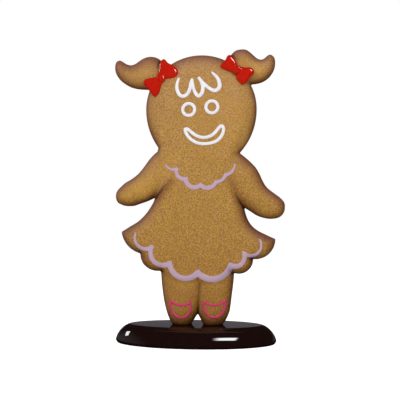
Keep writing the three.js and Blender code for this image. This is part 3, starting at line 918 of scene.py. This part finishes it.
told(plinth)

# %% [markdown]
# ## Finishes
#
# Every colour is an sRGB value as a painter would name it, turned to linear by one function.

# %% Material helpers


def srgb(code):
    """A hex colour in sRGB as linear red, green, blue and alpha."""
    channels = np.array([int(code[i : i + 2], 16) / 255 for i in (1, 3, 5)])
    linear = np.where(channels <= 0.04045, channels / 12.92, ((channels + 0.055) / 1.055) ** 2.4)
    return (*linear.tolist(), 1.0)


def feed(tree, node, inputs):
    """Gives each input of a node a value, a socket, or another node's first output in use."""
    for name, value in inputs.items():
        if isinstance(value, bpy.types.Node):
            value = next(socket for socket in value.outputs if socket.enabled)
        if isinstance(value, bpy.types.NodeSocket):
            tree.links.new(value, node.inputs[name])
        else:
            node.inputs[name].default_value = value
    return node


def add(tree, kind, inputs=None, **settings):
    """Adds a node with its settings, and feeds its inputs."""
    node = tree.nodes.new(kind)
    for name, value in settings.items():
        setattr(node, name, value)
    return feed(tree, node, inputs or {})


def spanned(value, low, high, to_low=0.0, to_high=1.0):
    """Inputs that map a value's span on to another."""
    return {"Value": value, "From Min": low, "From Max": high, "To Min": to_low, "To Max": to_high}


def mixed(share, under, over):
    """Inputs of a Mix node, whose colours are 6 and 7, that mix one over another by its share."""
    return {0: share, 6: under, 7: over}


def finish(name):
    """A new material with its node tree and its surface node."""
    material = bpy.data.materials.new(name)
    material.use_nodes = True
    return material, material.node_tree, material.node_tree.nodes["Principled BSDF"]


def wear(piece, material, node):
    """Puts a finish on a piece, makes it ride on the figure's one body and stand for a CAD node."""
    piece.data.materials.clear()
    piece.data.materials.append(material)
    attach(piece, "root")
    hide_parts(node)


# %% [markdown]
# ### Sprayed gingerbread paint
#
# Matt acrylic, spattered from a spray gun over a golden-brown coat, so it breaks up into flecks of
# darker brown, tan and dusty pink about 4 mm across. The eye reads it as crumb. It has no shine.
# An airbrush has browned the edges. Painted shade lies over them, in the creases and at the
# soles, painted light lifts shade in a few spots, and a painted sheen lies on what faces up.

# %% Gingerbread paint: its patterns
FLECK, CLOUD, GRAIN = 4.0, 70.0, 3.0  # mm across
PATTERNS = [  # name, feature size, detail, which slice of the noise, and the values it spans
    ("pale", FLECK, 1.0, 0.0, 0.3, 0.7, 0.0, 1.0),
    ("rosy", FLECK, 1.0, 7.0, 0.3, 0.7, 0.0, 1.0),
    ("cloud", CLOUD, 2.0, 3.0, 0.35, 0.65, 0.0, 0.25),
    ("grain", GRAIN, 2.0, 5.0, 0.0, 1.0, 0.0, 1.0),
]

SMOOTH = dict(interpolation_type="SMOOTHSTEP")

gingerbread, tree, shader = finish("sprayed gingerbread paint")
spot = add(tree, "ShaderNodeTexCoord").outputs["Object"]
patterns = {}
for name, size, detail, slice_at, *span in PATTERNS:
    noise_inputs = {"Vector": spot, "Scale": 1 / (size * MM), "Detail": detail, "W": slice_at}
    noise = add(tree, "ShaderNodeTexNoise", noise_inputs, noise_dimensions="4D")
    patterns[name] = add(tree, "ShaderNodeMapRange", spanned(noise, *span), **SMOOTH)
from_mesh = {
    name: add(tree, "ShaderNodeAttribute", attribute_name=name).outputs["Fac"] for name in carried
}
print("patterns:", *patterns, "and carried by the mesh:", *from_mesh)

# %% [markdown]
# The coats go on in this order: flecks first, then a paler, cooler tone that gets stronger up
# the figure, and painted shade, a deeper brown that gets stronger down the legs. What faces down
# gets a golden painted shade and what faces up a pinkish painted sheen. Places sprayed thinner are
# paler, and so are places where painted light lifts shade. Clouds of warmer brown drift over the
# whole, and then come the browned edges with their painted shade, more painted sheen on what
# faces up, and painted shade in the creases and at the soles. A coat is a colour mixed over
# another by its share, so the whole job is one table.

# %% Gingerbread paint: how much of each coat
PALER_UP_HIGH = (0.4, 0.9, 0.0, 0.16)  # from and to a height in metres, and the shares there
# painted shade, darker towards the bottom of the legs
LEG_SHADE = (0.14, 0.4, 0.35, 0.0)
FACING_UP = (-0.5, 0.5, 0.0, 1.0)  # from and to a facing of the sheen's light, and the shares there
SHEENED = (0.15, 0.75, 0.0, 0.3)
THIN_AND_LIT_SHARE, CREASE_SHARE = 0.35, 0.9

height = add(tree, "ShaderNodeSeparateXYZ", {"Vector": spot}).outputs["Z"]
paler_up_high, leg_shade = (
    add(tree, "ShaderNodeMapRange", spanned(height, *span), **SMOOTH)
    for span in (PALER_UP_HIGH, LEG_SHADE)
)
facing_up, sheened = (
    add(tree, "ShaderNodeMapRange", spanned(from_mesh["sheen"], *span))
    for span in (FACING_UP, SHEENED)
)
thin_and_lit_mix, creased = (
    add(tree, "ShaderNodeMath", {0: from_mesh[name], 1: share}, operation="MULTIPLY")
    for name, share in (("thin_and_lit", THIN_AND_LIT_SHARE), ("crease", CREASE_SHARE))
)

# %% Gingerbread paint: its coats
COATS = [  # name, how it goes on, its share, what lies under it, what goes over
    ("dark fleck", "MIX", patterns["rosy"], "#9C6F14", "#8A5E38"),
    ("pale fleck", "MIX", patterns["rosy"], "#CCA334", "#B99266"),
    ("crumb", "MIX", patterns["pale"], "dark fleck", "pale fleck"),
    ("paler up high", "MIX", paler_up_high, "crumb", "#C09A8C"),
    # painted shade: the legs darker towards the bottom
    ("leg shade", "MULTIPLY", leg_shade, "paler up high", "#C49C94"),
    # painted light: a golden shaded copy for what faces down, a pinkish sheen for what faces up
    ("golden", "MIX", 0.16, "leg shade", "#9C6608"),
    ("sheen", "MIX", 0.16, "leg shade", "#B88C74"),
    ("whole", "MIX", facing_up, "golden", "sheen"),
    # paler where sprayed thinner, and painted light where shade falls
    ("thinned and lit", "MIX", thin_and_lit_mix, "whole", "#D8A650"),
    ("clouded", "MIX", patterns["cloud"], "thinned and lit", "#A5793C"),
    # painted light on the browned edges: shaded brown facing down, lit maroon facing up
    ("brown", "MIX", facing_up, "#6C3915", "#75352A"),
    ("dark brown", "MIX", 0.16, "brown", "#000000"),
    ("pale brown", "MIX", 0.1, "brown", "#E0B090"),
    ("flecked brown", "MIX", patterns["pale"], "dark brown", "pale brown"),
    # the browned edges with their painted shade
    ("browned_and_shaded", "MIX", from_mesh["browned_and_shaded"], "clouded", "flecked brown"),
    # painted sheen on what faces up and to the left
    ("sheened", "MIX", sheened, "browned_and_shaded", "#9A7466"),
    # painted shade in the creases and at the soles
    ("creased", "MIX", creased, "sheened", "#281208"),
]
coats = {}
for name, blend, share, under, over in COATS:
    under, over = (coats[c] if c in coats else srgb(c) for c in (under, over))
    inputs = mixed(share, under, over)
    coats[name] = add(tree, "ShaderNodeMix", inputs, data_type="RGBA", blend_type=blend)
print(len(coats), "coats of paint, the last", name)

# %% Gingerbread paint: its surface
grain = {"Height": patterns["grain"], "Strength": 0.15, "Distance": 0.5 * MM}
surface = {
    "Base Color": coats["creased"],
    "Normal": add(tree, "ShaderNodeBump", grain),
    "Roughness": 0.6,
    "Specular IOR Level": 0.02,
}
feed(tree, shader, surface)
wear(biscuit, gingerbread, "biscuit")

# %% [markdown]
# ### Enamels
#
# The icing, bows and plinth are brushed or dipped enamel: smooth plastic-like paint of one colour
# with a clear gloss. What gives them away as hand work is a faint unevenness in the surface, which
# bends the reflections, so each gets a low bump at the scale of its brush marks or orange peel.

# %% Enamels
DRIFT = 30.0  # mm over which the colour drifts


def enamel(name, colour, second, gloss, coat_roughness, ripple_mm, ripple_height):
    """Gloss paint: one colour that drifts to a second, under a clear coat that ripples."""
    material, tree, shader = finish(name)
    spot = add(tree, "ShaderNodeTexCoord").outputs["Object"]
    drift, ripple = (
        add(tree, "ShaderNodeTexNoise", {"Vector": spot, "Scale": 1 / (size * MM), "Detail": 1.0})
        for size in (DRIFT, ripple_mm)
    )
    drifting = mixed(drift, srgb(colour), srgb(second))
    rippled = {"Height": ripple, "Strength": 0.3, "Distance": ripple_height * MM}
    surface = {
        "Base Color": add(tree, "ShaderNodeMix", drifting, data_type="RGBA"),
        "Roughness": 0.6,
        "Specular IOR Level": 0.0,
        "Coat Weight": gloss,
        "Coat Roughness": coat_roughness,
        "Coat Normal": add(tree, "ShaderNodeBump", rippled),
    }
    feed(tree, shader, surface)
    return material


white = enamel("brushed white enamel", "#EEECEF", "#E8E6EA", 0.3, 0.12, 9, 0.3)
lilac = enamel("brushed lilac satin enamel", "#C3A7B9", "#BDA1B3", 0.6, 0.07, 9, 0.2)
pink = enamel("brushed pink enamel", "#D5486B", "#CD4265", 0.6, 0.08, 7, 0.2)
red = enamel("dipped red enamel", "#BE1D0D", "#B81A0B", 1.0, 0.03, 14, 0.15)
chocolate = enamel("dipped chocolate enamel", "#190B0A", "#1E0E0C", 1.0, 0.03, 60, 0.1)

WORN = [  # finish, its slot, and the piece for each CAD node
    (white, "white_icing", {"hair": hair, "mouth": mouth}),
    (lilac, "lilac_icing", {"collar": collar, "hem_trim": trim}),
    (white, "white_icing", {"eye_" + side: eye for side, eye in eyes.items()}),
    (pink, "pink_icing", {"shoe_" + side: shoe for side, shoe in shoes.items()}),
    (red, "red_bow", {"bow_" + side: bow for side, bow in bows.items()}),
    (chocolate, "base_gloss", {"base": plinth}),
]
for material, slot, pieces in WORN:
    for node, piece in pieces.items():
        wear(piece, material, node)

# %% [markdown]
# ## Studio
#
# The room is white and evenly bright to the paint, a little darker overhead, with one wide soft
# box in front and above, so that the figure is lit flat and its edges turn a shade darker. Gloss
# sees another room, because enamel would mirror a white one as milky grey: it is dark, with a dim
# wall on the far left. In it hang two small soft boxes that give the highlights, one high in front
# on the right, which dims towards its edges, and one far off on the left. A low grey card behind
# is what the plinth's flat top mirrors.

# %% Floor and card
FLOOR_SIZE = 6000
CARD_Y, CARD_WIDTH, CARD_HEIGHT = 1400, 5000, 380
FLOOR_GLOW = 0.8  # the floor's own light, for the camera, so that its white runs into the room's


def by_ray(tree, ray, for_paint, for_gloss, for_camera):
    """A colour for each kind of ray: those that light paint, those seen in gloss, and the
    camera's own."""
    inputs = mixed(ray["Is Glossy Ray"], for_paint, for_gloss)
    unseen = add(tree, "ShaderNodeMix", inputs, data_type="RGBA")
    inputs = mixed(ray["Is Camera Ray"], unseen, for_camera)
    return add(tree, "ShaderNodeMix", inputs, data_type="RGBA")


corners = np.array([(-1, -1, 0), (1, -1, 0), (1, 1, 0), (-1, 1, 0)])
floor = make_piece("floor", corners * FLOOR_SIZE / 2, [[0, 1, 2, 3]])
corners = np.array([(-0.5, 0, 0), (0.5, 0, 0), (0.5, 0, 1), (-0.5, 0, 1)])
corners = corners * [CARD_WIDTH, 0, CARD_HEIGHT] + [0, CARD_Y, 0]
card = make_piece("grey_card", corners, [[0, 1, 2, 3]])
card.visible_camera = False
card.visible_diffuse = False
card.visible_shadow = False

white_floor, tree, shader = finish("white studio floor")
ray = add(tree, "ShaderNodeLightPath").outputs
glow = add(tree, "ShaderNodeMath", {0: ray["Is Camera Ray"], 1: FLOOR_GLOW}, operation="MULTIPLY")
surface = {
    "Base Color": by_ray(tree, ray, srgb("#DCDCDC"), srgb("#181614"), srgb("#F4F4F4")),
    "Emission Color": srgb("#FFFFFF"),
    "Emission Strength": glow,
    "Roughness": 1.0,
    "Specular IOR Level": 0.0,
}
feed(tree, shader, surface)

grey_card, tree, shader = finish("grey card")
glowing = {"Emission Color": srgb("#6F6A70"), "Emission Strength": 1.0}
feed(tree, shader, {"Base Color": srgb("#000000"), **glowing})
for piece, material in ((floor, white_floor), (card, grey_card)):
    piece.data.materials.append(material)

# %% Room
OVERHEAD = (0.0, 1.0, 0.92, 0.38)  # from level to straight up, and the light on paint from there
ON_THE_LEFT = (-0.65, -1.0, 0.015, 0.27)  # from and to a share of +X, and what gloss sees there

world = bpy.data.worlds.new("studio")
bpy.context.scene.world = world
world.use_nodes = True
tree = world.node_tree
direction = add(tree, "ShaderNodeTexCoord").outputs["Generated"]
way = add(tree, "ShaderNodeSeparateXYZ", {"Vector": direction}).outputs
fill = add(tree, "ShaderNodeMapRange", spanned(way["Z"], *OVERHEAD))
dark = add(tree, "ShaderNodeMapRange", spanned(way["X"], *ON_THE_LEFT), **SMOOTH)
ray = add(tree, "ShaderNodeLightPath").outputs
room = by_ray(tree, ray, fill, dark, srgb("#FFFFFF"))
feed(tree, tree.nodes["Background"], {"Color": room})
bpy.context.scene.view_settings.view_transform = "Standard"


# %% Lamps


def soft_box(name, place, aim, size, roll, power, in_gloss, on_paint, fades=()):
    """A rectangular area lamp that faces its aim, turned about that line by so many degrees. It
    gives so many watts for each square metre, and is seen in gloss, lights paint, or both. A fade
    names an axis, and the shares of the way along it where the lamp is dark and where full."""
    data = bpy.data.lights.new(name, "AREA")
    data.shape = "RECTANGLE"
    data.size, data.size_y = size
    data.energy = power * size[0] * size[1]
    lamp = bpy.data.objects.new(name, data)
    lamp.location = place
    facing = (Vector(place) - Vector(aim)).to_track_quat("Z", "Y")
    lamp.rotation_euler = (facing @ Quaternion((0, 0, 1), math.radians(roll))).to_euler()
    lamp.visible_glossy = in_gloss
    lamp.visible_diffuse = on_paint
    bpy.context.scene.collection.objects.link(lamp)
    data.use_nodes = True
    tree = data.node_tree
    spot = add(tree, "ShaderNodeNewGeometry").outputs["Parametric"]
    along = add(tree, "ShaderNodeSeparateXYZ", {"Vector": spot}).outputs
    strength = 1.0
    for axis, dark_at, full_at in fades:
        share = add(tree, "ShaderNodeMapRange", spanned(along[axis], dark_at, full_at), **SMOOTH)
        strength = add(tree, "ShaderNodeMath", {0: strength, 1: share}, operation="MULTIPLY")
    feed(tree, tree.nodes["Emission"], {"Strength": strength})


# Spots in metres on the plinth's shoulder, where the two small boxes should be mirrored.
SHOULDER_RIGHT, SHOULDER_LEFT = (0.105, -0.11, 0.031), (-0.2, -0.066, 0.034)
FIGURE = (0, 0, 0.5)
LAMPS = [  # name, place, aim, size, roll, power, in gloss, on paint, fades
    ("front", (0.1, -2.5, 1.45), FIGURE, (2.0, 1.0), 0, 14, False, True),
    ("right shine", (0.585, -0.945, 1.37), SHOULDER_RIGHT, (0.72, 0.5), -18, 72, True, False,
     [("X", 0.02, 0.35), ("X", 1.0, 0.8), ("Y", 0.0, 0.2), ("Y", 1.0, 0.8)]),
    ("left shine", (-2.2, 0.484, 1.396), SHOULDER_LEFT, (0.36, 0.7), 53, 42, True, False),
]
for lamp in LAMPS:
    soft_box(*lamp)
print(len(LAMPS), "lamps")
